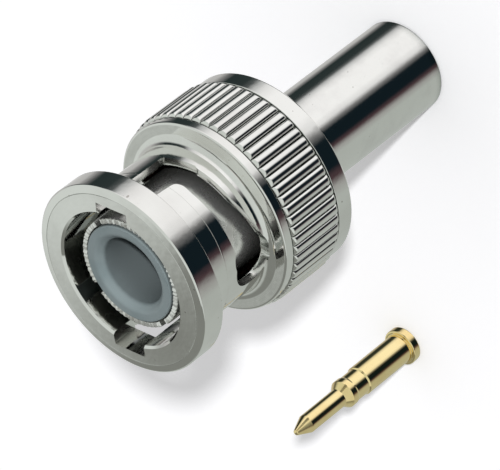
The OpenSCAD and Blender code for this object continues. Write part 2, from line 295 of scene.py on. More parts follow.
def onNut(u, r, s):
    # A flat place (u, s) at radius r, wrapped round the nut's axis.
    return wrapAround(r, entryTurn - u / barrelR, matingZ - s)


def faceDropAt(r):
    # The face is a turner's slight cone: it drops in proportion to the distance past the mouth.
    return np.maximum(0, r - mouthR) * nut["faceCone"]


def barrelLine(s):
    # Depth of the fine line round the barrel: a V whose sides meet at its middle.
    away = np.abs(s - nut["barrelLineAt"]) / nut["barrelLineHalf"]
    return nut["barrelLineDepth"] * np.clip(1 - away, 0, 1)


def barrelOutside(s):
    # Radius of the barrel's outside, with its turned line and the fillet's quarter circle.
    rise = np.clip((s - filletStart) / nut["collarFillet"], 0, 1)
    return barrelR - barrelLine(s) + nut["collarFillet"] * (1 - np.sqrt(1 - rise ** 2))


def slotOutline():
    # Outline of a slot: down the entry's left wall, along the rear edge to the seat, round it, back
    # along the front edge and the lip, and up the right wall. Columns: way round the barrel at its
    # outside, the same at the bore, and distance from the mating face. Stretches that one straight
    # cut made lie at asin(d / r) from the middle of the cut.
    def cut(centre, d, s):
        d, s = np.broadcast_arrays(np.asarray(d, float), np.asarray(s, float))
        return np.stack([centre + barrelR * np.arcsin(d / barrelR),
                         centre + barrelR * np.arcsin(d / boreR), s], -1)

    def arc(centre, middle, radius, first, last, count):
        turn = np.radians(np.linspace(first, last, count))
        return cut(centre, middle[0] - centre + radius * np.cos(turn), middle[1] + radius * np.sin(turn))

    seat = (math.radians(nut["seatTurn"]) * barrelR, nut["seatAt"])
    lead = (seat[0] - nut["seatLead"], nut["seatAt"])
    r, climb, rampAt = nut["seatRadius"], nut["rampClimb"], nut["rampAt"]
    halfRamp = seat[0] / 2 / barrelR
    bendX = lead[0] - nut["bendStart"] * r
    meet = math.radians(nut["bendTouch"])
    touch = (lead[0] + r * math.cos(meet), lead[1] + r * math.sin(meet))
    bendClimb = (touch[1] - rampAt - climb * bendX) / (touch[0] - bendX)
    halfBend = (touch[0] + 0.3 * r - bendX) / 2 / barrelR

    def rampRear(x):
        # The ramp is a flat cut at a slight slant, so its edge is a long sine round the barrel.
        return rampAt + climb * barrelR * (math.sin(halfRamp) + np.sin(x / barrelR - halfRamp))

    def bendRear(x):
        # The steeper flat cut that leads from the ramp into the seat, a sine of the same kind.
        turned = math.sin(halfBend) + np.sin((x - bendX) / barrelR - halfBend)
        return rampAt + climb * bendX + bendClimb * barrelR * turned

    def straight(x, s):
        return np.stack([x, x, s], -1)

    lipX = halfEntry + nut["lipRadius"]
    lipS = rampAt - nut["rampWidth"] + climb * lipX - nut["lipRadius"] + 0.04
    # The long edges stop short of the arcs by a little, and evenLine rounds what is left.
    rearX = np.linspace(halfEntry + 0.12, touch[0] - 0.1, 60)
    frontX = np.linspace(lead[0] - 0.8 * r, lipX + 0.55, 40)
    frontWidth = nut["rampWidth"] / math.cos(math.atan(climb))
    crossing = math.degrees(math.acos(nut["seatLead"] / 2 / r))  # where the seat's two circles cross
    return np.concatenate([
        # The entry's left wall, and its far end with the corner cut off
        cut(0, [-halfEntry, -halfEntry], [closedFrom, rampAt - 0.25 * halfEntry]),
        cut(0, [0.4, halfEntry], [rampAt + 0.02, rampAt + 0.15 * halfEntry]),
        straight(rearX, np.maximum(rampRear(rearX), bendRear(rearX))),
        arc(lead[0], lead, r, nut["bendTouch"], crossing, 8),
        arc(seat[0], seat, r, 180 - crossing, crossing - 180, 50),
        arc(lead[0], lead, r, -crossing, -121, 10),
        straight(frontX, rampRear(frontX) - frontWidth),
        arc(0, (lipX, lipS), nut["lipRadius"], 90, 180, 12),
        cut(0, halfEntry, [closedFrom]),
    ])


def slotWalls():
    # The slot's wall from bore to outside, as six rows of points along its outline. Each edge's
    # chamfer is two flats at about 45 degrees, and fades out where the wall runs into the ring.
    # Also returns the flat lines along which the outside and the bore are cut.
    wall = evenLine(slotOutline(), spacing=0.09, smooth=0.11)
    left = np.stack([np.full(len(wallRows), -barrelR * math.asin(halfEntry / barrelR)),
                     np.full(len(wallRows), -barrelR * math.asin(halfEntry / boreR)), wallRows], -1)
    right = left[::-1] * [-1, -1, 1]
    wall = np.concatenate([left, wall, right])
    side = -sideways(wall[:, [0, 2]])
    distance = wall[:, 2]
    taper = np.clip((distance - nut["ringLength"]) / 0.35, 0, 1) ** 0.7
    outerBreak, innerBreak = nut["outerBreak"] * taper, nut["innerBreak"] * taper

    def level(r, offset):
        share = np.clip((r - boreR) / (barrelR - boreR), 0, 1)
        u = wall[:, 1] + (wall[:, 0] - wall[:, 1]) * share + side[:, 0] * offset
        s = np.minimum(wall[:, 2] + side[:, 1] * offset, nut["collarAt"] - 0.02)
        return u, np.maximum(s, faceDropAt(r))

    inner = boreR + np.maximum(0, nut["mouthChamfer"] - distance)
    barrel = np.full(len(wall), barrelR)
    slant = 1 - math.sqrt(0.5)
    rows, flats = [], []
    for r, offset in ((inner, innerBreak), (inner + innerBreak * slant, innerBreak * slant),
                      (inner + innerBreak, 0 * innerBreak)):
        u, s = level(r, offset)
        rows.append(onNut(u, r, s))
        flats.append(np.stack([u, s], -1))
    for drop, offset in ((outerBreak, 0 * outerBreak), (outerBreak * slant, outerBreak * slant),
                         (0 * outerBreak, outerBreak)):
        u, s = level(barrel, offset)
        rows.append(onNut(u, barrelOutside(s) - drop, s))
        flats.append(np.stack([u, s], -1))
    outerCut = flats[-1][distance >= nut["ringLength"] - 1e-9]
    innerCut = flats[0][distance >= nut["mouthChamfer"] - 1e-9]
    return (np.stack(rows), gridFaces(len(rows), len(wall), False)), outerCut, innerCut


def halfColumns():
    # The nut's columns over half a turn, as ways round from the entry's middle. The half starts
    # 18 degrees before the entry, so that it holds one whole slot.
    start = barrelR * math.radians(18)
    way = (entryTurn - nutColumns()) * barrelR
    way = np.sort(np.mod(way + start, 2 * halfRound)) - start
    half = way[way < halfRound - start + 1e-6]
    if abs(half[-1] - (halfRound - start)) > 1e-6:
        half = np.append(half, halfRound - start)
    return half


def besideSlot(half, line):
    # The columns that a cut line's two ends leave free.
    return half[(half < line[0, 0] - 0.02) | (half > line[-1, 0] + 0.02)]


def betweenSlots(half, line):
    # Ways round from one slot's right end to the next slot's left end, half a turn on.
    way = besideSlot(half, line)
    return np.concatenate([[line[-1, 0]], way[way > 0], way[(way < 0) & (way > half[0])] + halfRound,
                           [line[0, 0] + halfRound]])


def cutSheet(half, line, rows):
    # A flat sheet over the nut's columns and the given rows, with the slot cut out along line.
    # Grid points too close to the cut are left out, except on the sheet's two sides.
    room = 0.07
    loose = gridPoints(half, rows[1:-1])
    edge = (loose[:, 0] == half[0]) | (loose[:, 0] == half[-1])
    clear = farFrom(loose, line, room) & ~insidePolygon(loose, line)
    top = besideSlot(half, line)
    ends = [np.stack([top, np.full(len(top), rows[0])], -1),
            np.stack([half, np.full(len(half), rows[-1])], -1)]
    return filledSheet(np.concatenate([loose[clear | edge]] + ends), [line], [line])


def barrelSheets(half, outerCut, innerCut):
    # Half of the barrel's outside and half of the bore. On the outside's sheet the height along the
    # fillet is the way round its arc, so that its rows stay evenly spaced.
    fillet = nut["collarFillet"]
    filletEnd = filletStart + fillet * math.pi / 2
    way = filletStart + fillet * np.arcsin(np.clip((outerCut[:, 1] - filletStart) / fillet, 0, 1))
    outerLine = np.stack([outerCut[:, 0], np.where(outerCut[:, 1] < filletStart, outerCut[:, 1], way)], -1)
    lineRows = nut["barrelLineAt"] + nut["barrelLineHalf"] * np.arange(-2, 3)
    outerRows = np.sort(np.concatenate([
        nut["ringLength"] + np.array([0, 0.04]), np.arange(closedFrom, filletStart - 0.1, 0.25), lineRows,
        np.linspace(filletStart, filletEnd, 8), filletEnd + np.array([0.04, 0.3])]))
    flat, triangles = cutSheet(half, outerLine, outerRows)
    u, p = flat.T
    bend = np.clip((p - filletStart) / fillet, 0, math.pi / 2)
    r = barrelR - barrelLine(p) + fillet * (1 - np.cos(bend)) + np.maximum(0, p - filletEnd)
    s = np.minimum(p, filletStart) + fillet * np.sin(bend)
    outside = (onNut(u, r, s), triangles)
    innerRows = np.concatenate([
        [nut["mouthChamfer"], 0.3, 0.8, 1.4, nut["ringLength"]], np.arange(closedFrom, 8.4, 0.3),
        [9.5, 11.0, shoulderAt - 0.04, shoulderAt]])
    flat, triangles = cutSheet(half, innerCut, innerRows)
    return [outside, (onNut(flat[:, 0], boreR, flat[:, 1]), triangles)]


def mouthBand(half, innerCut):
    # The mouth's chamfer, a narrow cone between the bore and the face. Also returns its outer arc.
    boreArc = betweenSlots(half, innerCut)
    boreEnd, barrelEnd = innerCut[-1, 0], barrelR * math.asin(halfEntry / barrelR)
    mouthEnd = boreEnd + (barrelEnd - boreEnd) * nut["mouthChamfer"] / (barrelR - boreR)
    faceArc = boreArc.copy()
    faceArc[0], faceArc[-1] = mouthEnd, halfRound - mouthEnd
    band = np.stack([onNut(boreArc, boreR, np.full(len(boreArc), nut["mouthChamfer"])),
                     onNut(faceArc, mouthR, np.zeros(len(boreArc)))])
    return (band, gridFaces(2, len(boreArc), False)), faceArc


def entrySection():
    # Way round and radius along the entry where the ring closes it: two walls and a flat floor.
    across = np.linspace(-halfEntry, halfEntry, 5)
    y = np.concatenate([[-halfEntry], across, [halfEntry]])
    x = np.full(len(y), nut["entryFloor"])
    x[0] = x[-1] = math.sqrt(barrelR ** 2 - halfEntry ** 2)
    return barrelR * np.arctan2(y, x), np.hypot(x, y)


def entryChannel():
    # The entry's section carried back through the ring, starting on the coned face.
    u, r = entrySection()
    rows = wallRows[wallRows <= nut["ringLength"]]
    s = np.maximum(np.tile(rows[:, None], len(u)), faceDropAt(r)[None])
    return onNut(np.tile(u, (len(rows), 1)), r[None], s), gridFaces(len(rows), len(u), False)


def ringFace(outerR, arc, arcR, s, cone):
    # Flat sheet between a circle and the outline of both entries, dropped by the cone where it has one.
    sectionU, sectionR = entrySection()
    u = np.concatenate([sectionU, arc[1:-1]])
    r = np.tile(np.concatenate([sectionR, np.full(len(arc) - 2, arcR)]), 2)
    turn = entryTurn - np.concatenate([u, u + halfRound]) / barrelR
    inner = np.stack([r * np.cos(turn), r * np.sin(turn)], -1)
    columns = nutColumns()
    outer = outerR * np.stack([np.cos(columns), np.sin(columns)], -1)
    rings = [np.concatenate([line, line[:1]]) for line in (outer, inner)]
    flat, triangles = filledSheet(np.zeros((0, 2)), rings, [inner])
    drop = faceDropAt(np.hypot(flat[:, 0], flat[:, 1])) if cone else np.zeros(len(flat))
    return np.concatenate([flat, (matingZ - s - drop)[:, None]], 1), triangles


def nutSweep(line, ribShare=0.0):
    # A line of (radius, distance from the face) carried round on the nut's columns, with the given
    # share of the ribs' height added to the radius.
    columns = nutColumns()
    r = line[:, :1] + np.reshape(ribShare, (-1, 1)) * ribHeightAt(columns)
    return wrapAround(r, columns[None], matingZ - line[:, 1:]), gridFaces(len(line), len(columns))


def ringOutside(faceR, rearR):
    # From the face, with its fine turned line, over a shallow slope and rounded edges to the rear.
    drop, edge, lineR = faceDropAt(faceR), nut["ringEdge"], nut["faceLineRadius"]
    half, depth = nut["faceLineHalf"], nut["faceLineDepth"]
    slopeIn, slopeDrop = nut["ringSlope"]
    return nutSweep(roundedLine([
        (faceR, drop, 0), (lineR - half, drop + 0.002, 0), (lineR - half / 2, drop + depth, 0),
        (lineR + half / 2, drop + depth, 0), (lineR + half, drop + 0.008, 0),
        (ringR - slopeIn, drop + 0.07, 0.06), (ringR, drop + 0.07 + slopeDrop, edge),
        (ringR, nut["ringLength"], edge), (rearR, nut["ringLength"], 0)],
        closed=False, hold=0.02, stepDegrees=20))


def rearInside():
    # Shoulder, counterbore, groove for the retaining ring, rear face and the plain rim behind the ribs.
    boreWide, grooveR, small = nut["counterboreRadius"], nut["grooveRadius"], 0.03
    grooveTop = nutLength - nut["rearLip"] - nut["grooveLength"]
    grooveEnd = grooveTop + nut["grooveLength"]
    rimR, chamfer = rootR + nut["rimShare"] * nut["ribHeight"], nut["rearChamfer"]
    return nutSweep(roundedLine([
        (boreR, shoulderAt, 0), (boreWide, shoulderAt, 0.08), (boreWide, grooveTop, small),
        (grooveR, grooveTop, small), (grooveR, grooveEnd, small), (boreWide, grooveEnd, small),
        (boreWide, nutLength, 0.08), (rimR - chamfer, nutLength, 0.08), (rimR, nutLength - chamfer, 0.1),
        (rimR, ribEnd, 0.06), (rootR, ribEnd, 0)], closed=False, hold=0.02, stepDegrees=30))


def knurl():
    # Each rib rises from its foot in a quarter circle, runs level, and is chamfered at the rear.
    nose = nut["ribHeight"]
    turn = np.linspace(0, math.pi / 2, 9)
    front = ribStart + nose * (1 - np.cos(turn))
    level = np.linspace(front[-1] + 0.05, ribEnd - nose - 0.05, 4)
    rear = ribEnd - nose * np.array([0, 0.33, 0.66, 1])
    distances = np.concatenate([rear, level[::-1], front[::-1]])
    share = np.concatenate([[0, 0.4, 0.75, 0.97], np.ones(len(level)), np.sin(turn)[::-1]])
    return nutSweep(np.stack([np.full(len(distances), rootR), distances], -1), share)


def collarFront():
    # The land before the ribs, and the collar's front face down to the end of the fillet.
    landR = rootR + nut["landShare"] * nut["ribHeight"]
    return nutSweep(roundedLine([
        (rootR, ribStart, 0), (landR, ribStart - 0.08, 0.03), (landR, nut["collarAt"], 0.16),
        (barrelR + nut["collarFillet"] + 0.3, nut["collarAt"], 0)], closed=False, hold=0.02))


def couplingNutPatches():
    # Everything round one slot is made once and repeated half a turn on; the rest is carried round.
    half = halfColumns()
    strip, outerCut, innerCut = slotWalls()
    chamferBand, faceArc = mouthBand(half, innerCut)
    patches = [strip, *barrelSheets(half, outerCut, innerCut), chamferBand, entryChannel()]
    patches += [(points * [-1, -1, 1], faces) for points, faces in patches]
    faceR, rearR = ringR - nut["faceInset"], ringR - nut["rearInset"]
    patches += [ringFace(faceR, faceArc, mouthR, 0, True),
                ringFace(rearR, betweenSlots(half, outerCut), barrelR, nut["ringLength"], False)]
    return patches + [ringOutside(faceR, rearR), rearInside(), knurl(), collarFront()]


retainingRing = {"width": 1.1, "gap": 55.0, "play": 0.02, "edge": 0.05}


def retainingRingPatches():
    # A flat strip with rounded edges carried round the groove, open by the gap's angle, with both
    # ends closed by a fan over the strip's section.
    low, high = nodeBox("retaining_ring")
    outer = nut["grooveRadius"] - retainingRing["play"]
    inner = outer - retainingRing["width"]
    section = barSection(inner, outer, low[2], high[2], [retainingRing["edge"]] * 4)
    half = math.radians(retainingRing["gap"] / 2)
    angles = math.pi / 2 + np.linspace(half, 2 * math.pi - half, 160)
    strip = wrapAround(section[:, :1], angles[None], section[:, 1:])
    patches = [(strip, gridFaces(len(section), len(angles), False, True))]
    for column in (0, -1):
        rim = strip[:, column]
        fan = np.concatenate([rim, rim.mean(axis=0)[None]])
        number = np.arange(len(rim))
        patches.append((fan, np.stack([number, np.roll(number, -1), np.full(len(rim), len(rim))], -1)))
    return patches


flatWasher = {"innerRadius": 4.5, "edge": 0.05}


def washerPatches():
    # A rectangle with rounded corners, carried round.
    low, high = nodeBox("flat_washer")
    edges = [flatWasher["edge"]] * 4
    return [revolved(barSection(flatWasher["innerRadius"], high[0], low[2], high[2], edges))]


waveSpring = {
    "innerRadius": 4.55, "thickness": 0.2, "waves": 3, "edge": 0.04,
    "keep": 0.36,  # share of its height that is left when the nut is pulled right back
}


def waveSpringPatches():
    # A flat strip carried round, its height a sine of the angle, with the set number of waves.
    low, high = nodeBox("wave_spring")
    thick = waveSpring["thickness"]
    section = barSection(waveSpring["innerRadius"], high[0], 0, thick, [waveSpring["edge"]] * 4)
    angles = evenAngles(240)
    rise = (high[2] - low[2] - thick) / 2
    height = low[2] + rise + rise * np.sin(waveSpring["waves"] * angles)
    points = wrapAround(section[:, :1], angles[None], section[:, 1:] + height[None])
    return [(points, gridFaces(len(section), len(angles), True, True))]


plugBody = {
    "bore": 1.55, "stem": 2.6, "stemFoot": 4.15, "stemLength": 8.5, "plainStem": 1.5, "barbs": 8,
    "barbHeight": 0.2, "boss": 4.4, "bossFoot": 12.65, "flange": 5.95, "flangeFoot": 15.96,
    "flangeTop": 16.61, "spigot": 3.575, "spigotTop": 18.41, "stubHole": 2.22, "stubFoot": 14.41,
}


def bodyPatches():
    # One turned piece: a stem with saw-tooth barbs for the cable's braid, boss, flange and spigot,
    # and a stepped bore. Its outline runs up the outside and down the bore.
    b = plugBody
    root = b["stem"] - b["barbHeight"]
    pitch = (b["stemLength"] - b["plainStem"]) / b["barbs"]
    barbs = []
    for i in range(b["barbs"]):
        z = b["stemFoot"] + 0.3 + i * pitch
        barbs += [(root, z, 0.03), (b["stem"], z + 0.8 * pitch, 0.03), (root, z + 0.9 * pitch, 0.02)]
    return [revolved(roundedLine(
        [(b["bore"], b["stemFoot"], 0.05), (b["bore"] + 0.5, b["stemFoot"], 0.1)] + barbs
        + [(root, b["bossFoot"], 0.05), (b["boss"] - 0.3, b["bossFoot"], 0.08),
           (b["boss"], b["bossFoot"] + 0.3, 0.1), (b["boss"], b["flangeFoot"], 0.05),
           (b["flange"], b["flangeFoot"], 0.08), (b["flange"], b["flangeTop"], 0.08),
           (b["spigot"], b["flangeTop"], 0.03), (b["spigot"], b["spigotTop"], 0.05),
           (b["stubHole"], b["spigotTop"], 0.05), (b["stubHole"], b["stubFoot"], 0.03),
           (b["bore"], b["stubFoot"], 0.03)], hold=0.015))]


contact = {
    "radius": 4.075, "wall": 0.48, "fingerGap": 0.7, "fingerLength": 5.0, "turn": -7.0,
    "tip": 0.06, "tipLength": 0.45, "innerEase": 0.05,  # how the fingers' ends are drawn in
    "rim": 0.07, "tipCorner": 0.12, "footCorner": 0.05,  # radii of edges and corners
    "burr": 0.05, "sheetColumns": 45,
}


def contactWalls(z, top):
    # Inner and outer radius at height z: the tip is drawn in outside and eased inside.
    drop = np.clip((z - (top - contact["tipLength"])) / contact["tipLength"], 0, 1)
    inner = contact["radius"] - contact["wall"] + contact["innerEase"] * drop
    return inner, contact["radius"] - contact["tip"] * drop ** 2


def fingerEdge(top, quarter):
    # Upper edge of a quarter of the slotted tube, laid flat: half a tip, down the slot, across its
    # foot and up again to half a tip. Returns the line, its outward normals, and a burr that rises
    # and falls along the tips as three sines of different pitch.
    half = contact["radius"] * math.asin(contact["fingerGap"] / 2 / contact["radius"])
    foot, corner, footCorner = top - contact["fingerLength"], contact["tipCorner"], contact["footCorner"]
    line = roundedLine([
        (-quarter / 2, top, 0), (-half, top, corner), (-half, foot, footCorner),
        (half, foot, footCorner), (half, top, corner), (quarter / 2, top, 0)], closed=False, hold=0.02)
    along = wayAlong(line)
    line = resampled(line, along, np.unique(np.concatenate([along, np.linspace(0, along[-1], 170)])))
    side = sideways(line)
    side[[0, -1]] = [0, 1]
    outward = side * np.sign(np.mean(side[:5, 1]))
    u, z = line.T
    phase = u * 9
    waves = 0.5 * np.sin(phase * 1.9) + 0.3 * np.sin(phase * 4.7 + 1) + 0.2 * np.sin(phase * 9.1)
    onTip = np.clip((z - top + 0.3) / 0.2, 0, 1) * np.clip((quarter / 2 - np.abs(u)) / 0.2, 0, 1)
    return line, outward, contact["burr"] * waves * onTip - 0.02


def fingerRim(line, outward, burr, top):
    # Rounded strip over the edge, from the inner wall to the outer one: two quarter circles of the
    # rim's radius with the rest of the wall between them. Rows of (u, radius, z).
    rim = contact["rim"]
    rows = []
    for angle in np.linspace(-math.pi / 2, math.pi / 2, 7):
        out = rim * (math.cos(angle) - 1)
        z = line[:, 1] + outward[:, 1] * out + burr
        inner, outer = contactWalls(z, top)
        flatShare = ((outer - inner) / 2 - rim) * np.sign(round(angle, 6))
        radius = (outer + inner) / 2 + flatShare + rim * math.sin(angle)
        rows.append(np.stack([line[:, 0] + outward[:, 0] * out, radius, z], -1))
    return np.stack(rows)


def fingerSheet(line, outward, burr, foot, top, quarter):
    # Flat sheet of one quarter's wall, from the foot up to the edge's line.
    edge = line - outward * contact["rim"] + np.stack([0 * burr, burr], -1)
    across = np.linspace(-quarter / 2, quarter / 2, contact["sheetColumns"])
    tipRows = np.linspace(top - contact["tipLength"], top - 0.12, 4)
    loose = gridPoints(across, np.concatenate([np.arange(foot + 0.4, top - 0.5, 0.5), tipRows]))
    outline = np.concatenate([edge, [[quarter / 2, foot], [-quarter / 2, foot]]])
    onSide = np.abs(np.abs(loose[:, 0]) - quarter / 2) < 1e-9
    clear = insidePolygon(loose, outline) & farFrom(loose, edge, 0.06)
    loose = loose[clear | (onSide & (loose[:, 1] < top - 0.13))]
    base = np.stack([across, np.full(len(across), foot)], -1)
    return filledSheet(np.concatenate([loose, base]), [edge], [], outline)


def outerContactPatches():
    # A slotted tube of four equal quarters, each with an inner and an outer wall, the rounded strip
    # that joins them over the edge, and a flat foot.
    low, high = nodeBox("outer_contact")
    foot, top, radius = low[2], high[2], contact["radius"]
    quarter = math.pi / 2 * radius
    line, outward, burr = fingerEdge(top, quarter)
    rim = fingerRim(line, outward, burr, top)
    flat, triangles = fingerSheet(line, outward, burr, foot, top, quarter)
    across = np.linspace(-quarter / 2, quarter / 2, contact["sheetColumns"])
    patches = []
    for k in range(4):
        shift = math.radians(contact["turn"] + 90 * k)
        patches.append((wrapAround(rim[..., 1], shift + rim[..., 0] / radius, rim[..., 2]),
                        gridFaces(*rim.shape[:2], False)))
        for wall in contactWalls(flat[:, 1], top):
            patches.append((wrapAround(wall, shift + flat[:, 0] / radius, flat[:, 1]), triangles))
        ends = np.array([[radius - contact["wall"]], [radius]])
        patches.append((wrapAround(ends, shift + across[None] / radius, foot + 0 * ends),
                        gridFaces(2, len(across), False)))
    return patches


insulator = {"outer": 3.575, "stub": 2.2, "hole": 1.09, "socket": 2.45, "chamfer": 0.42, "floor": 22.45}


def insulatorPatches():
    # A stub and a wider head, with the pin's hole through both and the socket in the head.
    low, high = nodeBox("insulator")
    s, headFoot = insulator, plugBody["spigotTop"]
    return [revolved(roundedLine([
        (s["hole"], low[2], 0.03), (s["stub"], low[2], 0.05), (s["stub"], headFoot, 0.05),
        (s["outer"], headFoot, 0.05), (s["outer"], high[2], 0.12),
        (s["socket"] + s["chamfer"], high[2], 0.4), (s["socket"], high[2] - s["chamfer"], 0.4),
        (s["socket"], s["floor"], 0.25), (s["hole"], s["floor"], 0.08)]))]


gasket = {"play": 0.05, "edges": (0.1, 0.1, 0.2, 0.2)}


def gasketPatches():
    # A rectangle with rounded corners, carried round with a little play on the contact.
    low, high = nodeBox("gasket")
    inner = contact["radius"] + gasket["play"]
    return [revolved(barSection(inner, high[0], low[2], high[2], gasket["edges"], hold=0.03))]


ferrule = {"radius": 3.325, "wall": 0.45, "edges": (0.1, 0.14, 0.14, 0.05)}


def ferrulePatches():
    # A plain tube: the section of its wall, with its outer edges rounded most, carried round.
    low, high = nodeBox("crimp_ferrule")
    inner = ferrule["radius"] - ferrule["wall"]
    section = barSection(inner, ferrule["radius"], low[2], high[2], ferrule["edges"], hold=0.04)
    return [revolved(section, steps=256)]


pin = {
    "place": (-15.8, 19.1), "length": 12.1, "tipRadius": 0.2, "point": 1.25,
    "shaft": 0.7, "shaftLength": 4.7, "barb": 1.07, "neck": 1.0, "barrelAt": 6.9, "barrel": 1.1,
    "flange": 1.38, "flangeHeight": 0.65, "wire": 0.5, "wireDepth": 4.0, "wireEnd": 0.4,
    "sightHole": 0.3, "columns": 96, "pole": 1e-4,  # pole: radius at which a point is closed
}


def pinPatches():
    # The pin's outside is a line carried round, from the tip down to the flange and up the wire's
    # hole. The crimp barrel is a filled sheet with the round sight hole cut out of it.
    s = pin
    length, wire, wireEnd, columns = s["length"], s["wire"], s["wireEnd"], s["columns"]
    barbAt, barrelTop = length - s["shaftLength"], length - s["barrelAt"]
    wireTop = s["wireDepth"] - wireEnd
    step = s["barrel"] - s["neck"]
    barrelFoot, barrelHead = s["flangeHeight"] + 0.2, barrelTop - step - 0.2
    front = math.pi / 2

    def sweep(line):
        angles = front + evenAngles(columns)
        return wrapAround(line[:, :1], angles[None], line[:, 1:]), gridFaces(len(line), columns)

    upper = roundedLine([
        (s["pole"], length, 0), (s["tipRadius"], length - 0.06, 0.12),
        (s["shaft"], length - s["point"], 0.15), (s["shaft"], barbAt, 0.04),
        (s["barb"], barbAt - 0.5, 0.1), (s["barb"], barbAt - 0.95, 0.08),
        (s["neck"], barbAt - 1.1, 0.1), (s["neck"], barrelTop, 0.04),
        (s["barrel"], barrelTop - step, 0.06), (s["barrel"], barrelHead, 0)], closed=False, hold=0.02)
    lower = roundedLine([
        (s["barrel"], barrelFoot, 0), (s["barrel"], s["flangeHeight"], 0.05),
        (s["flange"], s["flangeHeight"], 0.12), (s["flange"], 0, 0.1), (wire, 0, 0.1),
        (wire, wireEnd, 0)], closed=False, hold=0.02)
    deep = np.array([[wire, wireTop], [wire, s["wireDepth"]], [s["pole"], s["wireDepth"] + 0.1]])
    patches = [sweep(upper), sweep(lower), sweep(deep)]
    turn = np.linspace(0, 2 * math.pi, 29)
    hole, holeZ = s["sightHole"], s["wireDepth"] / 2 + s["flangeHeight"]
    rings = []
    for radius, foot, head in ((s["barrel"], barrelFoot, barrelHead), (wire, wireEnd, wireTop)):
        spread = radius * np.arcsin(np.clip(hole * np.cos(turn) / radius, -1, 1))
        line = np.stack([spread, holeZ + hole * np.sin(turn)], -1)
        across = np.linspace(-math.pi, math.pi, columns + 1) * radius
        loose = gridPoints(across, np.linspace(foot, head, 9))
        clear = farFrom(loose, line, 0.05) & ~insidePolygon(loose, line[:-1])
        flat, triangles = filledSheet(loose[clear], [line], [line[:-1]])
        patches.append((wrapAround(radius, front + flat[:, 0] / radius, flat[:, 1]), triangles))
        rings.append(wrapAround(radius, front + line[:, 0] / radius, line[:, 1]))
    patches.append((np.stack(rings), gridFaces(2, len(turn), False)))
    return patches


def feed(tree, socket, value):
    # Links another node's output to the socket, or sets a number, vector or opaque colour on it.
    if isinstance(value, bpy.types.NodeSocket):
        tree.links.new(value, socket)
    elif socket.type == "RGBA":
        socket.default_value = (*value, 1)
    else:
        socket.default_value = value


def addNode(tree, kind, **values):
    # A new node. Values named after its sockets go there, others are the node's own settings.
    node = tree.nodes.new("ShaderNode" + kind)
    for name, value in values.items():
        if name in node.inputs:
            feed(tree, node.inputs[name], value)
        else:
            setattr(node, name, value)
    return node


def maths(tree, operation, *values):
    # The result of a Math node on sockets or numbers.
    node = addNode(tree, "Math", operation=operation)
    for socket, value in zip(node.inputs, values):
        feed(tree, socket, value)
    return node.outputs[0]


def eased(tree, value, low, high):
    # A smooth step: 0 up to low, 1 from high.
    node = addNode(tree, "MapRange", interpolation_type="SMOOTHSTEP", Value=value)
    feed(tree, node.inputs["From Min"], low)
    feed(tree, node.inputs["From Max"], high)
    return node.outputs[0]


def mixed(tree, share, first, second):
    # The colour between two colours at the given share of the second.
    node = addNode(tree, "Mix", data_type="RGBA")
    for number, value in ((0, share), (6, first), (7, second)):
        feed(tree, node.inputs[number], value)
    return node.outputs[2]


def bumped(tree, height, depth, normal):
    # A bump of the given depth in metres, laid over the normal if there is one already.
    node = addNode(tree, "Bump", Strength=1.0, Distance=depth, Height=height)
    if normal:
        feed(tree, node.inputs["Normal"], normal)
    return node.outputs[0]


def newGroup(name, inputs, outputs):
    # A node group with float outputs. Inputs are floats with a default, or a vector where it is None.
    group = bpy.data.node_groups.new(name, "ShaderNodeTree")
    for socket, value in inputs.items():
        kind = "NodeSocketVector" if value is None else "NodeSocketFloat"
        made = group.interface.new_socket(socket, in_out="INPUT", socket_type=kind)
        if value is not None:
            made.default_value = value
    for socket in outputs:
        group.interface.new_socket(socket, in_out="OUTPUT", socket_type="NodeSocketFloat")
    return group, group.nodes.new("NodeGroupInput"), group.nodes.new("NodeGroupOutput")


def useGroup(tree, group, **values):
    # A node group placed in a material with its own values.
    node = tree.nodes.new("ShaderNodeGroup")
    node.node_tree = group
    for name, value in values.items():
        feed(tree, node.inputs[name], value)
    return node


def turnedLines():
    # Fine lines that a lathe leaves: noise of radius / spacing and height / spacing, so it changes
    # along the axis and away from it, and hardly at all round it. Height goes to a Bump; Streak is a
    # mask for roughness.
    group, start, end = newGroup("TurnedLines", {"Vector": None, "Spacing": 0.00006}, ["Height", "Streak"])
    spacing = start.outputs["Spacing"]
    x, y, z = addNode(group, "SeparateXYZ", Vector=start.outputs["Vector"]).outputs
    square = maths(group, "ADD", maths(group, "MULTIPLY", x, x), maths(group, "MULTIPLY", y, y))
    radius = maths(group, "SQRT", square)
    place = addNode(group, "CombineXYZ", X=maths(group, "DIVIDE", radius, spacing),
                    Y=maths(group, "DIVIDE", z, spacing)).outputs[0]
    fine = addNode(group, "TexNoise", Scale=1.0, Detail=2.0, Vector=place)
    wide = addNode(group, "TexNoise", Scale=0.17, Detail=1.0, Vector=place)
    feed(group, end.inputs["Height"], fine.outputs[0])
    feed(group, end.inputs["Streak"], wide.outputs[0])
    return group


def handling():
    # Wear from handling: Smudge is soft cloudy noise, and Speck the few peaks of a noise nine times
    # finer, where grit has marked the surface.
    group, start, end = newGroup("Handling", {"Vector": None, "Size": 400.0}, ["Smudge", "Speck"])
    where, size = start.outputs["Vector"], start.outputs["Size"]
    cloud = addNode(group, "TexNoise", Detail=3.0, Roughness=0.55, Vector=where, Scale=size)
    spots = addNode(group, "TexNoise", Detail=1.0, Vector=where, Scale=maths(group, "MULTIPLY", size, 9.0))
    feed(group, end.inputs["Smudge"], eased(group, cloud.outputs[0], 0.42, 0.72))
    feed(group, end.inputs["Speck"], eased(group, spots.outputs[0], 0.76, 0.82))
    return group


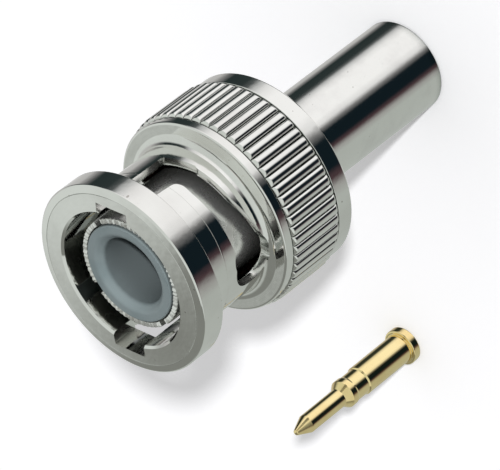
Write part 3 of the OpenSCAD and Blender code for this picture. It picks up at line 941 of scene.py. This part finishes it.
def recess():
    # How shut in a place is: 0 in the open, 1 deep in a gap, from the light that reaches it.
    # finish() mixes the base colour towards a dark tone by this mask: painted shade, on the metal partly
    # also standing for tarnish.
    group, start, end = newGroup("PaintedRecessShade", {"Reach": 0.003}, ["Mask"])
    near = addNode(group, "AmbientOcclusion", samples=8, Distance=start.outputs["Reach"])
    feed(group, end.inputs["Mask"], eased(group, near.outputs["AO"], 0.78, 0.30))
    return group


turnedGroup, handlingGroup, recessGroup = turnedLines(), handling(), recess()

# Every finish starts from these. Depths are in metres, scales are a noise's, and a tone, depth or
# painted recess shade that is None or 0 is left out.
plainFinish = {
    "metallic": 1.0, "smudgeScale": 400.0, "speck": None, "recess": None, "recessReach": 0.0015,
    "ripple": 0.0, "rippleScale": 1600.0, "lines": 0.0, "lineSpacing": 0.00006,
    "grain": 0.0, "grainScale": 3000.0, "centre": (0, 0),
}


def finish(name, **values):
    # Two tones mixed by the smudge mask, then specks, then the painted shade of recesses over them (a
    # darker tone where the place is shut in); roughness between its two values by 0.6 smudge + 0.4 streak;
    # and bumps from a slow ripple, the turned lines and a fine grain, one laid over the other.
    look = {**plainFinish, **values}
    material = bpy.data.materials.new(name)
    material.use_nodes = True
    tree = material.node_tree
    shader = tree.nodes["Principled BSDF"]
    shader.inputs["Metallic"].default_value = look["metallic"]
    where = addNode(tree, "Mapping", Vector=addNode(tree, "TexCoord").outputs["Object"],
                    Location=[*(-value * mm for value in look["centre"]), 0]).outputs[0]
    turned = useGroup(tree, turnedGroup, Vector=where, Spacing=look["lineSpacing"])
    worn = useGroup(tree, handlingGroup, Vector=where, Size=look["smudgeScale"])
    colour = mixed(tree, worn.outputs["Smudge"], look["clean"], look["smudged"])
    if look["speck"]:
        colour = mixed(tree, worn.outputs["Speck"], colour, look["speck"])
    # Painted shade: the base colour darkens towards the recess tone where the place is shut in.
    if look["recess"]:
        inside = useGroup(tree, recessGroup, Reach=look["recessReach"])
        colour = mixed(tree, inside.outputs["Mask"], colour, look["recess"])
    feed(tree, shader.inputs["Base Color"], colour)
    mask = maths(tree, "ADD", maths(tree, "MULTIPLY", worn.outputs["Smudge"], 0.6),
                 maths(tree, "MULTIPLY", turned.outputs["Streak"], 0.4))
    rough = addNode(tree, "MapRange", Value=mask)
    for socket, value in zip(("To Min", "To Max"), look["roughness"]):
        feed(tree, rough.inputs[socket], value)
    feed(tree, shader.inputs["Roughness"], rough.outputs[0])
    normal = None
    if look["ripple"]:
        wave = addNode(tree, "TexNoise", Scale=look["rippleScale"], Detail=1.5, Vector=where)
        normal = bumped(tree, wave.outputs[0], look["ripple"], normal)
    if look["lines"]:
        normal = bumped(tree, turned.outputs["Height"], look["lines"], normal)
    if look["grain"]:
        noise = addNode(tree, "TexNoise", Scale=look["grainScale"], Detail=3.0, Vector=where)
        normal = bumped(tree, noise.outputs[0], look["grain"], normal)
    if normal:
        feed(tree, shader.inputs["Normal"], normal)
    return material


# The recess colours of the nickel, contact and steel finishes are painted shade, partly also standing for
# tarnish; the plastic's is painted shade in its socket.
nickel = finish(
    "polishedNickel", clean=(0.87, 0.865, 0.84), smudged=(0.81, 0.80, 0.775), roughness=(0.04, 0.12),
    smudgeScale=260.0, speck=(0.5, 0.48, 0.45), recess=(0.20, 0.22, 0.205), lines=0.000001, ripple=0.000006)
ferruleNickel = finish(
    "ferruleNickel", clean=(0.87, 0.865, 0.84), smudged=(0.82, 0.81, 0.79), roughness=(0.07, 0.14),
    smudgeScale=500.0, speck=(0.5, 0.48, 0.45), recess=(0.25, 0.27, 0.255), lines=0.000001,
    ripple=0.0000012, rippleScale=5000.0)
contactNickel = finish(
    "contactNickel", clean=(0.88, 0.88, 0.86), smudged=(0.76, 0.75, 0.73), roughness=(0.22, 0.36),
    metallic=0.9, smudgeScale=600.0, speck=(0.35, 0.33, 0.3), recess=(0.42, 0.43, 0.40),
    lines=0.000002, grain=0.000004)
gold = finish(
    "goldPlate", clean=(1.0, 0.82, 0.43), smudged=(0.95, 0.73, 0.35), roughness=(0.07, 0.15),
    smudgeScale=500.0, speck=(0.55, 0.36, 0.16), lines=0.0000012, centre=pin["place"])
steel = finish(
    "springSteel", clean=(0.56, 0.55, 0.53), smudged=(0.42, 0.41, 0.39), roughness=(0.18, 0.3),
    smudgeScale=700.0, recess=(0.25, 0.25, 0.24), lines=0.000002)
plastic = finish(
    "insulatorPlastic", clean=(0.235, 0.285, 0.295), smudged=(0.20, 0.25, 0.26), roughness=(0.38, 0.5),
    metallic=0.0, smudgeScale=500.0, recess=(0.125, 0.148, 0.152), recessReach=0.006,
    lines=0.000002, grain=0.000002)
rubber = finish(
    "gasketRubber", clean=(0.13, 0.028, 0.018), smudged=(0.09, 0.024, 0.018), roughness=(0.6, 0.75),
    metallic=0.0, smudgeScale=500.0, grain=0.00001)
print("materials:", len(bpy.data.materials))

# Each piece rides on its body and stands for the CAD solid of the same place.
addPiece("couplingNut", couplingNutPatches(), "nut", nickel, "coupling_nut")
addPiece("connectorBody", bodyPatches(), "plug", nickel, "connector_body")
addPiece("outerContact", outerContactPatches(), "plug", contactNickel, "outer_contact")
addPiece("insulatorSleeve", insulatorPatches(), "plug", plastic, "insulator")
addPiece("gasketRing", gasketPatches(), "plug", rubber, "gasket")
addPiece("crimpFerrule", ferrulePatches(), "plug", ferruleNickel, "crimp_ferrule")
addPiece("centrePin", pinPatches(), "plug", gold, "centre_pin", pin["place"])
addPiece("retainingRing", retainingRingPatches(), "nut", steel, "retaining_ring")
addPiece("flatWasher", washerPatches(), "carrier", steel, "flat_washer")
spring = addPiece("waveSpring", waveSpringPatches(), "plug", steel, "wave_spring")
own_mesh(spring)

floorSettings = {
    "side": 0.6, "colour": (0.94, 0.94, 0.96), "roughness": 0.9,
    # The glow to the camera is dimmed near the object by ambient occlusion: a painted contact shadow.
    "glow": 0.31, "paintedShadowReach": 0.03, "paintedShadowPower": 1.3,  # glow to the camera, less near the object
}
keySettings = {"power": 2.65, "azimuth": -84.5, "height": 33.2, "angle": 2.6, "away": 0.4}
cameraSettings = {"place": (1.8754, -265.3109, 205.8785), "azimuth": -89.0, "height": 35.2263,
                  "roll": -127.7144, "lens": 360.0}
worldSettings = {
    "ambient": 0.30,  # even light on matt surfaces
    "rise": (0.05, 0.35),  # where the panels pass into the ceiling, as a share of straight up
    "ceiling": ((0.66, 0.70, 0.67), (0.22, 0.23, 0.21)), "ceilingTurn": (82, 98),
    # The panels that the metal sees round it: azimuth, and the brightness and tint there
    "panels": [
        (-180, (0.44, 0.47, 0.44)), (-164, (0.44, 0.47, 0.44)), (-152, (0.36, 0.36, 0.345)),
        (-141, (0.075, 0.045, 0.05)), (-131, (0.006, 0.012, 0.016)), (-102, (0.006, 0.012, 0.016)),
        (-93, (0.20, 0.20, 0.20)), (-84, (0.80, 0.80, 0.80)), (-70, (1.0, 1.0, 1.0)),
        (-30, (1.0, 1.0, 1.0)), (-18, (0.88, 0.88, 0.88)), (-7, (0.56, 0.57, 0.57)),
        (0, (0.10, 0.11, 0.11)), (8, (0.028, 0.038, 0.038)), (31, (0.022, 0.032, 0.032)),
        (41, (0.2, 0.2, 0.2)), (52, (0.5, 0.5, 0.49)), (66, (0.54, 0.54, 0.53)),
        (90, (0.80, 0.80, 0.79)), (100, (0.46, 0.49, 0.46)), (180, (0.44, 0.47, 0.44))],
}


def turnShare(azimuth):
    # An azimuth as a share of a whole turn, from -180 degrees up.
    return (azimuth + 180) / 360


def towards(azimuth, height):
    # Unit vector at an azimuth from +X and a height above the floor, both in radians.
    return Vector((math.cos(azimuth) * math.cos(height), math.sin(azimuth) * math.cos(height),
                   math.sin(height)))


def addPanels(tree, share):
    # Colour ramp round the horizon, with each stop made at its final place.
    ramp = addNode(tree, "ValToRGB", Fac=share)
    stops = ramp.color_ramp.elements
    while len(stops) > 1:
        stops.remove(stops[-1])
    stops[0].position = 0
    for number, (azimuth, colour) in enumerate(worldSettings["panels"]):
        stop = stops.new(turnShare(azimuth)) if number else stops[0]
        stop.color = (*colour, 1)
    return ramp.outputs[0]


def buildWorld():
    # White to the camera, an even grey to matt surfaces, and to mirrors a studio that is a function of
    # the direction: panels by azimuth near the horizon, and a ceiling of two tones higher up.
    world = bpy.data.worlds.new("studio")
    bpy.context.scene.world = world
    world.use_nodes = True
    tree = world.node_tree
    tree.nodes.clear()
    x, y, z = addNode(tree, "SeparateXYZ", Vector=addNode(tree, "TexCoord").outputs["Generated"]).outputs
    turn = maths(tree, "DIVIDE", maths(tree, "ARCTAN2", y, x), 2 * math.pi)
    share = maths(tree, "ADD", turn, 0.5)
    lowTurn, highTurn = (turnShare(azimuth) for azimuth in worldSettings["ceilingTurn"])
    ceiling = mixed(tree, eased(tree, share, lowTurn, highTurn), *worldSettings["ceiling"])
    studio = mixed(tree, eased(tree, z, *worldSettings["rise"]), addPanels(tree, share), ceiling)
    even = addNode(tree, "Background", Color=(worldSettings["ambient"],) * 3).outputs[0]
    mirrored = addNode(tree, "Background", Color=studio).outputs[0]
    seen = addNode(tree, "Background", Color=(1, 1, 1)).outputs[0]
    path = addNode(tree, "LightPath").outputs
    light = even
    for ray, other in (("Is Glossy Ray", mirrored), ("Is Camera Ray", seen)):
        choice = tree.nodes.new("ShaderNodeMixShader")
        for socket, value in zip(choice.inputs, (path[ray], light, other)):
            feed(tree, socket, value)
        light = choice.outputs[0]
    addNode(tree, "OutputWorld", Surface=light)


def buildFloor():
    # A square of pale paper that also glows a little to the camera, less where the object shuts it in,
    # which is a painted contact shadow: glow = strength * (open share ^ power).
    half = floorSettings["side"] / 2
    mesh = bpy.data.meshes.new("floor")
    mesh.from_pydata([(-half, -half, 0), (half, -half, 0), (half, half, 0), (-half, half, 0)],
                     [], [(0, 1, 2, 3)])
    material = bpy.data.materials.new("palePaper")
    material.use_nodes = True
    tree = material.node_tree
    shader = tree.nodes["Principled BSDF"]
    near = addNode(tree, "AmbientOcclusion", samples=12, Distance=floorSettings["paintedShadowReach"])
    unshadedShare = maths(tree, "POWER", near.outputs["AO"], floorSettings["paintedShadowPower"])
    seen = maths(tree, "MULTIPLY", addNode(tree, "LightPath").outputs["Is Camera Ray"], unshadedShare)
    for socket, value in (("Roughness", floorSettings["roughness"]), ("Specular IOR Level", 0.0),
                          ("Base Color", floorSettings["colour"]), ("Emission Color", (1, 1, 1)),
                          ("Emission Strength", maths(tree, "MULTIPLY", seen, floorSettings["glow"]))):
        feed(tree, shader.inputs[socket], value)
    mesh.materials.append(material)
    floor = bpy.data.objects.new("floor", mesh)
    bpy.context.scene.collection.objects.link(floor)
    floor.visible_glossy = False  # the metal mirrors the world's panels instead


def buildKey():
    # A sun of a few degrees across, close behind the camera, so that shadows lie beside the object.
    lamp = bpy.data.lights.new("key", "SUN")
    lamp.energy = keySettings["power"]
    lamp.angle = math.radians(keySettings["angle"])
    key = bpy.data.objects.new("key", lamp)
    bpy.context.scene.collection.objects.link(key)
    toLamp = towards(math.radians(keySettings["azimuth"]), math.radians(keySettings["height"]))
    key.rotation_euler = toLamp.to_track_quat("Z", "Y").to_euler()
    key.location = toLamp * keySettings["away"]
    key.visible_glossy = False


def buildCamera():
    # It looks back along the direction that azimuth and height give, and is rolled about it: right =
    # level * cos(roll) + upright * sin(roll).
    azimuth, height, roll = (math.radians(cameraSettings[key]) for key in ("azimuth", "height", "roll"))
    back = towards(azimuth, height)
    level = towards(azimuth + math.pi / 2, 0)
    right = level * math.cos(roll) + back.cross(level) * math.sin(roll)
    lens = bpy.data.cameras.new("camera")
    lens.lens = cameraSettings["lens"]
    lens.sensor_width = 36.0
    lens.sensor_fit = "HORIZONTAL"
    lens.clip_start = 0.01
    camera = bpy.data.objects.new("camera", lens)
    bpy.context.scene.collection.objects.link(camera)
    turn = Matrix((right, back.cross(right), back)).transposed().to_4x4()
    camera.matrix_world = Matrix.Translation(Vector(cameraSettings["place"]) * mm) @ turn
    bpy.context.scene.camera = camera


buildWorld()
buildFloor()
buildKey()
buildCamera()
bpy.context.scene.view_settings.view_transform = "Standard"
print("studio ready")
